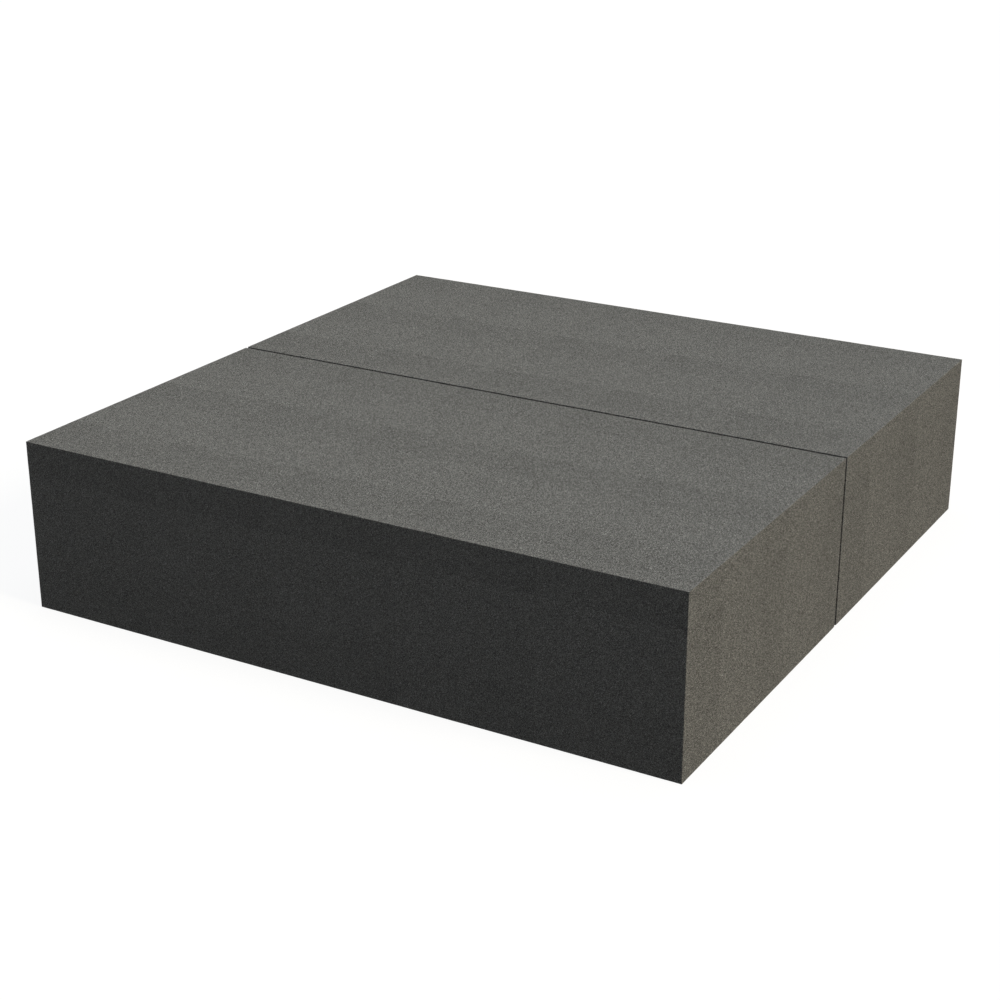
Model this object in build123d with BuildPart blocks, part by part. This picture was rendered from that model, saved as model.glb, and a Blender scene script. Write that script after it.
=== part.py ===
from build123d import *
import os

# A square block of foam, cut straight through into two equal halves that stand
# side by side on a flat surface. The halves are alike, so one loop makes both.
# The origin lies on that surface, under the middle of the block. X runs along the
# cut, Y crosses it from the near half to the far half, and Z is up.

# Driving dimensions in millimetres
half_length = 300.0
half_width = 150.0
half_height = 75.0
cut_gap = 1.6
edge_radius = 0.15

# From the middle of the block to the middle of each half
half_offset = (half_width + cut_gap) / 2

os.makedirs("parts", exist_ok=True)

for name, side in (("near_half", -1), ("far_half", 1)):
    underside = Plane(origin=(0, side * half_offset, 0))
    with BuildPart() as half:
        # The outline seen from above, raised to the full height
        with BuildSketch(underside):
            Rectangle(half_length, half_width)
        extrude(amount=half_height)
        # A sawn edge is crisp, and eased by less than the width of one foam cell
        fillet(half.edges(), radius=edge_radius)
    half.part.label = name
    export_step(half.part, f"parts/{name}.step")
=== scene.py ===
import math

import bpy
import numpy as np
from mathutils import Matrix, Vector


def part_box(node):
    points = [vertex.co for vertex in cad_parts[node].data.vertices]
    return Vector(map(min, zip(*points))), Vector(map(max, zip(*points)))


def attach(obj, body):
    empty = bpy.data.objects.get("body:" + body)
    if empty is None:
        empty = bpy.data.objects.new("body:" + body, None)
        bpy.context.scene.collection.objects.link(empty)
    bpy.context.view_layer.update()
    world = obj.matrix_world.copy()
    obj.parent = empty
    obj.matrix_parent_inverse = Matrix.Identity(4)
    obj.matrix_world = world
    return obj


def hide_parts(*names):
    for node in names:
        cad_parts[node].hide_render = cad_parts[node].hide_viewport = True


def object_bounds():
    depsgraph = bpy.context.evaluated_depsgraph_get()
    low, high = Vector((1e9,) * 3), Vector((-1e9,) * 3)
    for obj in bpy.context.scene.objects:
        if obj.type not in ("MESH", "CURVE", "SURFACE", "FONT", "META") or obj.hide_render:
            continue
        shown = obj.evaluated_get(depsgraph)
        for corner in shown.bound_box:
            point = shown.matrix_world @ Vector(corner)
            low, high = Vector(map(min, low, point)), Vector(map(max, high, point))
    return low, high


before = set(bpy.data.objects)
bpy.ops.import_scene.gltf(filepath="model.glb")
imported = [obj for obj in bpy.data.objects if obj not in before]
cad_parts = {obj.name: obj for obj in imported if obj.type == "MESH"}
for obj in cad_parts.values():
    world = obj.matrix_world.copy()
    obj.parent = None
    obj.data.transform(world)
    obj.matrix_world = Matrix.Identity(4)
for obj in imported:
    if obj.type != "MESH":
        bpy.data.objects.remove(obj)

# A block of charcoal foam in two halves, cut straight and standing side by side.
# All lengths are in metres. X runs along the cut, Y across it and Z is up.
cad_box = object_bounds()
MILLIMETRE = 0.001
HALVES = ("near_half", "far_half")

# The camera looks from beyond the right front corner, at a point at half the block's height
view_azimuth = math.radians(29.96)
view_elevation = math.radians(21.73)
view_distance = 0.8419
view_aim = Vector((0.0049, -0.0282, cad_box[1].z / 2))
view_lens = 70.0
view_far = 20.0

# Light, as a share of what a white face square to it all would send back
sky_level = 0.218
sky_colour = (0.97, 1.0, 1.05)
key_level = 0.798
key_elevation = math.radians(32)
key_colour = (1.0, 0.895, 0.713)
key_softness = math.radians(16)
overhead_level = 0.35
overhead_colour = (0.93, 1.0, 1.055)
overhead_softness = math.radians(50)

# The floor: half its width, the light that it throws back on the block, how much of its
# white a full shadow would take away, and how bright it looks where nothing shades it
floor_reach = 3.0
floor_bounce = 0.06
floor_shade = 0.15
floor_white = 1.03

# The meshes of the halves: rows round the eased edges and beside them, an even pitch
# between those, and a relief made of waves
edge_radius = 0.15 * MILLIMETRE
edge_steps = 3
mesh_pitch = 1.45 * MILLIMETRE
support_rows = (0.2 * MILLIMETRE, 0.7 * MILLIMETRE)
relief_depth = 0.03 * MILLIMETRE
relief_waves = 24
relief_lengths = (5 * MILLIMETRE, 40 * MILLIMETRE)
relief_seed = 11

# For each side of a half, the way across its tiles and the way down them.
# The order is left end, right end, near side, far side, underside and top.
side_ways = (
    ((0, 0, 1), (0, 1, 0)),
    ((0, 0, -1), (0, 1, 0)),
    ((-1, 0, 0), (0, 0, -1)),
    ((1, 0, 0), (0, 0, -1)),
    ((-1, 0, 0), (0, 1, 0)),
    ((1, 0, 0), (0, 1, 0)),
)
tile_size = 60 * MILLIMETRE
map_gutter = 0.8 * MILLIMETRE
wear_width = 0.7 * MILLIMETRE

# The foam's colour, and its cells: sizes in millimetres, turn in radians, wall and slope
# as shares of a cell, and tones as shares of the colour
foam_colour = (0.155, 0.157, 0.154)
cell_size = 0.2
cell_stretch = 2.2
cell_turn = (0.6, 0.4, 0.9)
wall_share = 0.12
wall_tone = 1.09
pore_slope = 0.35
# Painted shade: the share of the colour left at the middle of each cell, standing in for the shade deep in
# a pore
painted_pore_shade = 0.4
pore_tones = (0.3, 3.7)
pore_curve = 2.0

# Height of the grain in millimetres, with a cell's floor and rim as shares of it
grain_height = 0.12
grain_bump = 0.6
floor_spread = 0.5
rim_height = 0.8

# Finish of the foam
wall_roughness = 0.86
pore_roughness = 0.98
foam_specular = 0.02

# Mottling and rubbed edges: the size of their patches in millimetres, the part of
# the noise that they take up, and their strength as a share of the colour
mottle_size = 0.38
mottle_detail = 0.0
mottle_noise = (0.25, 0.75)
mottle_tone = 0.35
wear_size = 6.0
wear_detail = 2.0
wear_noise = (0.4, 0.6)
wear_tone = 0.12

# The faint tone that repeats with each tile. Places are shares of the tile, across and
# up, and tones are in levels, with one level a fiftieth of the colour.
tone_level = 0.02
step_at = 0.38
step_blur = 0.02
row_tones = (-2.1, 0.0, 2.0)
slant_from = 0.65
slant_middle = 0.45
slant_tones = (2.3, -0.6)
corner_reach = 0.22
corner_tone = -3.0
line_at = (0.52, 0.25)
line_half_width = 0.014
line_half_length = (0.17, 0.22)
line_tone = 1.6


def lit_for_background(tree):
    """1 for the camera and for what shows in gloss or glass, and 0 for light on the object."""
    path = tree.nodes.new("ShaderNodeLightPath")
    seen = tree.nodes.new("ShaderNodeMath")
    seen.operation = "MAXIMUM"
    both = tree.nodes.new("ShaderNodeMath")
    both.operation = "MAXIMUM"
    tree.links.new(path.outputs["Is Camera Ray"], seen.inputs[0])
    tree.links.new(path.outputs["Is Glossy Ray"], seen.inputs[1])
    tree.links.new(seen.outputs[0], both.inputs[0])
    tree.links.new(path.outputs["Is Transmission Ray"], both.inputs[1])
    return both.outputs[0]


def make_world():
    """White behind the object, and a low even light on it."""
    world = bpy.data.worlds.new("studio")
    bpy.context.scene.world = world
    world.use_nodes = True
    tree = world.node_tree
    tree.nodes.clear()
    out = tree.nodes.new("ShaderNodeOutputWorld")
    mix = tree.nodes.new("ShaderNodeMixShader")
    sky = tree.nodes.new("ShaderNodeBackground")
    white = tree.nodes.new("ShaderNodeBackground")
    sky.inputs["Color"].default_value = sky_colour + (1,)
    sky.inputs["Strength"].default_value = sky_level
    white.inputs["Color"].default_value = (1, 1, 1, 1)
    white.inputs["Strength"].default_value = 1.0
    tree.links.new(lit_for_background(tree), mix.inputs[0])
    tree.links.new(sky.outputs[0], mix.inputs[1])
    tree.links.new(white.outputs[0], mix.inputs[2])
    tree.links.new(mix.outputs[0], out.inputs["Surface"])


def make_floor():
    """A plain pale floor that keeps the object's shadow."""
    mesh = bpy.data.meshes.new("floor")
    r = floor_reach
    mesh.from_pydata([(-r, -r, 0), (r, -r, 0), (r, r, 0), (-r, r, 0)], [], [(0, 1, 2, 3)])
    floor = bpy.data.objects.new("floor", mesh)
    bpy.context.collection.objects.link(floor)
    material = bpy.data.materials.new("pale_floor")
    material.use_nodes = True
    tree = material.node_tree
    tree.nodes.clear()
    out = tree.nodes.new("ShaderNodeOutputMaterial")
    mix = tree.nodes.new("ShaderNodeMixShader")
    bounce = tree.nodes.new("ShaderNodeBsdfDiffuse")
    bounce.inputs["Color"].default_value = (floor_bounce,) * 3 + (1,)
    shade = tree.nodes.new("ShaderNodeBsdfDiffuse")
    shade.inputs["Color"].default_value = (floor_shade,) * 3 + (1,)
    glow = tree.nodes.new("ShaderNodeEmission")
    glow.inputs["Strength"].default_value = floor_white - floor_shade
    add = tree.nodes.new("ShaderNodeAddShader")
    tree.links.new(shade.outputs[0], add.inputs[0])
    tree.links.new(glow.outputs[0], add.inputs[1])
    tree.links.new(lit_for_background(tree), mix.inputs[0])
    tree.links.new(bounce.outputs[0], mix.inputs[1])
    tree.links.new(add.outputs[0], mix.inputs[2])
    tree.links.new(mix.outputs[0], out.inputs["Surface"])
    mesh.materials.append(material)


def make_lamp(name, level, colour, softness, way):
    """A distant lamp, with way as the direction in which its light travels."""
    light = bpy.data.lights.new(name, "SUN")
    light.energy = level * math.pi
    light.color = colour
    light.angle = softness
    lamp = bpy.data.objects.new(name, light)
    lamp.rotation_euler = Vector(way).to_track_quat("-Z", "Y").to_euler()
    bpy.context.collection.objects.link(lamp)


def make_camera():
    """A camera at the photograph's angle."""
    back = Vector((
        math.sin(view_azimuth) * math.cos(view_elevation),
        -math.cos(view_azimuth) * math.cos(view_elevation),
        math.sin(view_elevation),
    ))
    data = bpy.data.cameras.new("camera")
    data.lens = view_lens
    data.clip_end = view_far
    camera = bpy.data.objects.new("camera", data)
    camera.location = view_aim + back * view_distance
    camera.rotation_euler = (-back).to_track_quat("-Z", "Y").to_euler()
    bpy.context.collection.objects.link(camera)
    bpy.context.scene.camera = camera


def rows_along(low, high):
    """Places of the mesh rows along one side: close round the eased edges, even between them."""
    # Where even angles round an eased edge meet the flat side outside it
    slopes = np.tan(np.linspace(math.pi / 4, 0, edge_steps + 1))
    start = low + edge_radius * (1 - slopes)
    near = low + edge_radius + np.array(support_rows)
    inner_low, inner_high = near[-1], low + high - near[-1]
    count = round((inner_high - inner_low) / mesh_pitch)
    middle = np.linspace(inner_low, inner_high, count + 1)
    first = np.concatenate([start, near[:-1]])
    last = (low + high - first)[::-1]
    return np.concatenate([first, middle, last])


def box_skin(rows):
    """The surface grid of a box: its points as row numbers, its outward faces, and the side of each."""
    counts = [len(r) for r in rows]
    corners = []
    sides = []
    for axis in range(3):
        a, b = (axis + 1) % 3, (axis + 2) % 3
        i, j = np.meshgrid(np.arange(counts[a] - 1), np.arange(counts[b] - 1), indexing="ij")
        i, j = i.ravel(), j.ravel()
        for at_end in (False, True):
            turn = ((0, 0), (1, 0), (1, 1), (0, 1))
            face = np.zeros((len(i), 4, 3), int)
            for corner, (da, db) in enumerate(turn if at_end else turn[::-1]):
                face[:, corner, axis] = counts[axis] - 1 if at_end else 0
                face[:, corner, a] = i + da
                face[:, corner, b] = j + db
            corners.append(face)
            sides.append(np.full(len(face), 2 * axis + at_end))
    corners = np.concatenate(corners).reshape(-1, 3)
    key = (corners[:, 0] * counts[1] + corners[:, 1]) * counts[2] + corners[:, 2]
    _, first, index = np.unique(key, return_index=True, return_inverse=True)
    return corners[first], index.reshape(-1, 4), np.concatenate(sides)


def relief(points, seed):
    """A faint unevenness of the cut faces, from 0 to 1: a sum of waves in random directions."""
    random = np.random.default_rng(seed)
    shortest, longest = np.log(relief_lengths)
    total = np.zeros(len(points))
    for _ in range(relief_waves):
        direction = random.normal(size=3)
        direction /= np.linalg.norm(direction)
        length = np.exp(random.uniform(shortest, longest))
        total += np.sin(points @ direction * 2 * math.pi / length + random.uniform(0, 2 * math.pi))
    usual_size = math.sqrt(relief_waves / 2)
    return 0.5 + 0.5 * np.tanh(total / usual_size)


def tile_map(places, sides, low, high):
    """The map in which the foam's tone repeats. It starts at the foot of each upright side."""
    # Across each tile and up it
    ways = np.array(side_ways, float)[sides] * ((1,), (-1,))
    start = np.where(ways < 0, high, low)
    start[:, :, 2] = low[2]
    return (np.einsum("fcx,fwx->fcw", places, ways) - (start * ways).sum(2)[:, None]) / tile_size


def bake_map(places, sides, low, high):
    """The map that lays all six sides out on one sheet, none over another.

    The top and the underside each have an end beside them, and the long sides follow.
    """
    length, width, height = high - low
    across = (length, length, 0, 0, 0, 0)
    up = (width, 0, 2 * width, 2 * width + height, width, 0)
    sheet = (length + height, 2 * (width + height))
    ways = np.array(side_ways, float)[sides]
    start = np.minimum(low * ways, high * ways).sum(2)[:, None]
    span = np.abs((high - low) * ways).sum(2)[:, None]
    flat = (np.einsum("fcx,fwx->fcw", places, ways) - start) / span
    flat = map_gutter + flat * (span - 2 * map_gutter)
    return (flat + np.stack([across, up], 1)[sides][:, None]) / sheet


def wear_at(points, low, high):
    """How much an edge has been rubbed at each point: 1 on it, and 0 past wear_width from it."""
    inward = np.sort(np.minimum(points - low, high - points), axis=1)[:, 1]
    return np.clip(1 - (inward - edge_radius) / wear_width, 0, 1)


def make_half(name, seed, material):
    """One half of the block, with eased edges and faces that are not quite even."""
    low, high = (np.array(corner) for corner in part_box(name))
    rows = [rows_along(low[axis], high[axis]) for axis in range(3)]
    numbers, faces, sides = box_skin(rows)
    grid = np.stack([rows[axis][numbers[:, axis]] for axis in range(3)], 1)
    core = np.clip(grid, low + edge_radius, high - edge_radius)
    outward = grid - core
    outward /= np.linalg.norm(outward, axis=1)[:, None]
    sunk = relief_depth * relief(grid, seed)
    points = core + outward * (edge_radius - sunk)[:, None]
    mesh = bpy.data.meshes.new(name + "_foam")
    mesh.from_pydata(points.tolist(), [], faces.tolist())
    mesh.shade_smooth()
    mesh.materials.append(material)
    for map_name, make_map in (("tile", tile_map), ("OFBake", bake_map)):
        flat = make_map(grid[faces], sides, low, high)
        mesh.uv_layers.new(name=map_name).data.foreach_set("uv", flat.ravel())
    mesh.attributes.new("wear", "FLOAT", "POINT").data.foreach_set("value", wear_at(grid, low, high))
    half = bpy.data.objects.new(name + "_foam", mesh)
    bpy.context.collection.objects.link(half)
    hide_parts(name)
    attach(half, "root")


class Nodes:
    """Short forms for the nodes of one material."""

    def __init__(self, tree):
        self.tree = tree

    def add(self, kind, inputs=(), **settings):
        """A node with its settings made and its inputs put in."""
        node = self.tree.nodes.new(kind)
        for name, value in settings.items():
            setattr(node, name, value)
        for name, value in dict(inputs).items():
            self.put(node.inputs[name], value)
        return node

    def put(self, socket, value):
        """Link another node's output to the socket, or set it to a plain value."""
        if isinstance(value, bpy.types.NodeSocket):
            self.tree.links.new(value, socket)
        else:
            socket.default_value = value

    def math(self, operation, *values):
        """The result of one operation on the values."""
        node = self.add("ShaderNodeMath", operation=operation)
        for socket, value in zip(node.inputs, values):
            self.put(socket, value)
        return node.outputs[0]

    def mix(self, share, low, high):
        """low where share is 0, and high where it is 1."""
        node = self.add("ShaderNodeMix")
        factor, _, first, second = node.inputs[:4]
        for socket, item in zip((factor, first, second), (share, low, high)):
            self.put(socket, item)
        return node.outputs[0]

    def scaled(self, vector, factor):
        """The vector times the factor."""
        node = self.add("ShaderNodeVectorMath", operation="SCALE")
        self.put(node.inputs["Vector"], vector)
        self.put(node.inputs["Scale"], factor)
        return node.outputs["Vector"]

    def ramp(self, value, low, high, to_low=0.0, to_high=1.0, smooth=True):
        """value taken from low..high to to_low..to_high, held at both ends."""
        node = self.add("ShaderNodeMapRange", interpolation_type="SMOOTHSTEP" if smooth else "LINEAR")
        for socket, item in zip(node.inputs, (value, low, high, to_low, to_high)):
            self.put(socket, item)
        return node.outputs[0]


def foam_cells(n, place):
    """Open cells between thin walls: where the walls are, the grain's tone with painted shade towards each
    cell's middle, and its height.
    """
    # Longer the way the foam rose, and turned so that no face runs along a plane of them
    turned = n.add("ShaderNodeMapping", {
        "Vector": place,
        "Rotation": cell_turn,
        "Scale": (1, 1 / cell_stretch, 1),
    })
    where = {"Vector": turned.outputs["Vector"], "Scale": 1 / cell_size}
    edge = n.add("ShaderNodeTexVoronoi", where, feature="DISTANCE_TO_EDGE")
    wall = n.ramp(edge.outputs["Distance"], wall_share / 2, wall_share, 1.0, 0.0)
    slope = n.ramp(edge.outputs["Distance"], 0.0, pore_slope, 1.0, 0.0)

    # Each cell has a tone and a depth of its own, and painted shade darkens it towards its middle, where a
    # pore's hollow would lie in shade
    cell = n.add("ShaderNodeTexVoronoi", where)
    chance = n.add("ShaderNodeSeparateColor", {"Color": cell.outputs["Color"]})
    curved = n.math("POWER", chance.outputs["Red"], pore_curve)
    open_tone = n.ramp(curved, 0.0, 1.0, *pore_tones, smooth=False)
    pore = n.math("MULTIPLY", open_tone, n.mix(slope, painted_pore_shade, 1.0))
    tone = n.mix(wall, pore, wall_tone)
    floor_height = n.math("MULTIPLY", chance.outputs["Green"], floor_spread)
    height = n.mix(wall, n.mix(slope, floor_height, rim_height), 1.0)
    return wall, tone, height


def tile_tone(n):
    """The foam's repeating tone, in levels: a dark band with a bright line, a step, and a lighter band."""
    tile = n.add("ShaderNodeUVMap", uv_map="tile")
    flat = n.add("ShaderNodeSeparateXYZ", {"Vector": tile.outputs["UV"]})
    u = n.math("FRACT", flat.outputs["X"])
    v = n.math("FRACT", flat.outputs["Y"])

    dark, middle, light = row_tones
    step = n.ramp(v, step_at - step_blur, step_at + step_blur, dark, middle)
    rise = n.ramp(v, step_at, 1.0, 0.0, light - middle, smooth=False)

    # The tone rises across the tile, and falls back a little across its top
    slope = n.ramp(v, slant_from, 1.0, *slant_tones)
    slant = n.math("MULTIPLY", n.math("SUBTRACT", u, slant_middle), slope)

    corner_across = n.ramp(u, 0.0, corner_reach, corner_tone, 0.0)
    corner_up = n.ramp(v, 0.0, corner_reach, 1.0, 0.0)
    corner = n.math("MULTIPLY", corner_across, corner_up)

    line_u, line_v = line_at
    beside = n.math("ABSOLUTE", n.math("SUBTRACT", u, line_u))
    along = n.math("ABSOLUTE", n.math("SUBTRACT", v, line_v))
    line_across = n.ramp(beside, 0.0, line_half_width, line_tone, 0.0)
    line_up = n.ramp(along, *line_half_length, 1.0, 0.0)
    line = n.math("MULTIPLY", line_across, line_up)

    total = n.math("ADD", n.math("ADD", step, rise), n.math("ADD", slant, corner))
    return n.math("ADD", total, line)


def mottling(n, place):
    """A soft unevenness of tone, nearly as fine as the cells and turned as they are."""
    spun = n.add("ShaderNodeMapping", {"Vector": place, "Rotation": cell_turn})
    noise = n.add("ShaderNodeTexNoise", {
        "Vector": spun.outputs["Vector"],
        "Scale": 1 / mottle_size,
        "Detail": mottle_detail,
    })
    tones = (1 - mottle_tone, 1 + mottle_tone)
    return n.ramp(noise.outputs["Fac"], *mottle_noise, *tones, smooth=False)


def edge_wear(n, place):
    """Edges rubbed lighter, in patches."""
    noise = n.add("ShaderNodeTexNoise", {
        "Vector": place,
        "Scale": 1 / wear_size,
        "Detail": wear_detail,
    })
    patches = n.ramp(noise.outputs["Fac"], *wear_noise, 0.0, wear_tone)
    rubbed = n.add("ShaderNodeAttribute", attribute_name="wear")
    return n.math("ADD", n.math("MULTIPLY", patches, rubbed.outputs["Fac"]), 1.0)


def make_foam():
    """Charcoal open-cell foam."""
    material = bpy.data.materials.new("charcoal_foam")
    material.use_nodes = True
    tree = material.node_tree
    tree.nodes.clear()
    n = Nodes(tree)
    out = n.add("ShaderNodeOutputMaterial")
    place = n.scaled(n.add("ShaderNodeTexCoord").outputs["Object"], 1 / MILLIMETRE)
    wall, grain, height = foam_cells(n, place)
    fine_tone = n.math("MULTIPLY", grain, mottling(n, place))
    tile = n.math("MULTIPLY_ADD", tile_tone(n), tone_level, 1.0)
    broad_tone = n.math("MULTIPLY", tile, edge_wear(n, place))
    tone = n.math("MULTIPLY", fine_tone, broad_tone)
    bump = n.add("ShaderNodeBump", {
        "Height": height,
        "Strength": grain_bump,
        "Distance": grain_height * MILLIMETRE,
    })
    shader = n.add("ShaderNodeBsdfPrincipled", {
        "Base Color": n.scaled(foam_colour, tone),
        "Roughness": n.mix(wall, pore_roughness, wall_roughness),
        "Specular IOR Level": foam_specular,
        "Normal": bump.outputs["Normal"],
    })
    n.put(out.inputs["Surface"], shader.outputs[0])
    return material


# The scene
bpy.context.scene.view_settings.view_transform = "Standard"
make_camera()
make_world()
make_floor()
key_way = (-math.cos(key_elevation), 0, -math.sin(key_elevation))
make_lamp("key", key_level, key_colour, key_softness, key_way)
make_lamp("overhead", overhead_level, overhead_colour, overhead_softness, (0, 0, -1))
foam = make_foam()
for number, half_name in enumerate(HALVES):
    make_half(half_name, relief_seed + number, foam)
